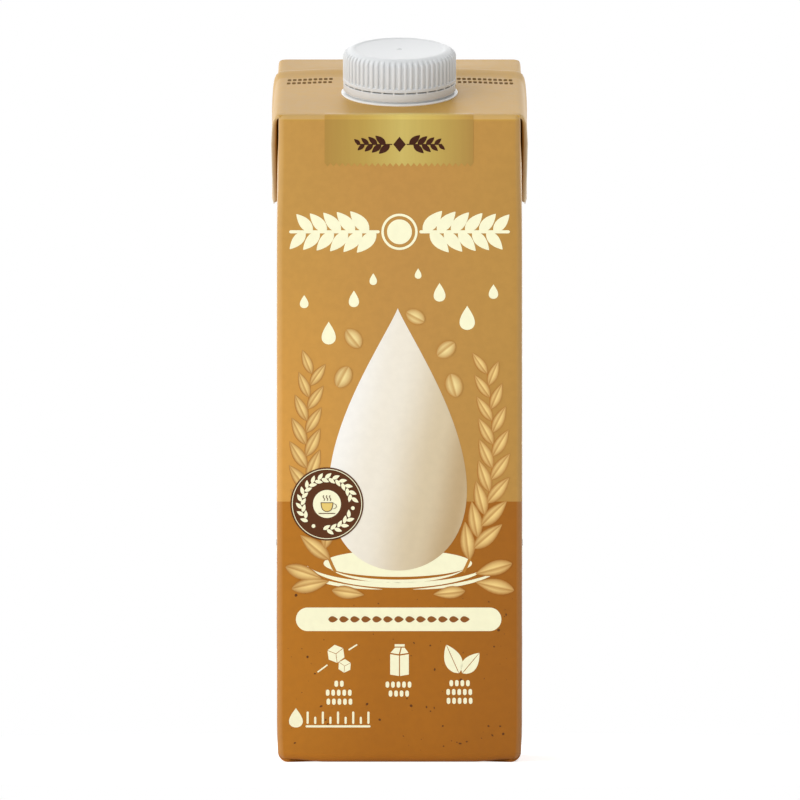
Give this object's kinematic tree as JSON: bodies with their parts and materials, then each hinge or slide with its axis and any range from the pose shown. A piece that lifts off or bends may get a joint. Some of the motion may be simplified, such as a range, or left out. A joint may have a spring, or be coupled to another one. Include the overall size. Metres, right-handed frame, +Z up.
{
  "type": "oat milk carton",
  "caption": "Shut drink carton of folded board with a sloped top, side ears folded down and a ribbed screw cap.",
  "frame": {"origin": "centre of the carton's base, on the surface that it stands on", "axes": "+Z up along the pack, -Y out of the front face, +X to the right seen from the front"},
  "size_m": [0.0746, 0.0752, 0.2111],
  "materials": {
    "carton_board": "printed, satin varnish",
    "board_edge": "raw cut edge",
    "cream_print": "printed, satin varnish",
    "brown_print": "printed, satin varnish",
    "grain_print": "printed, satin varnish",
    "gold_print": "metallic ink",
    "white_plastic": "moulded, satin"
  },
  "bodies": {
    "root": {"carton": "carton_board", "spout": "white_plastic", "cap": "white_plastic"}
  },
  "joints": []
}
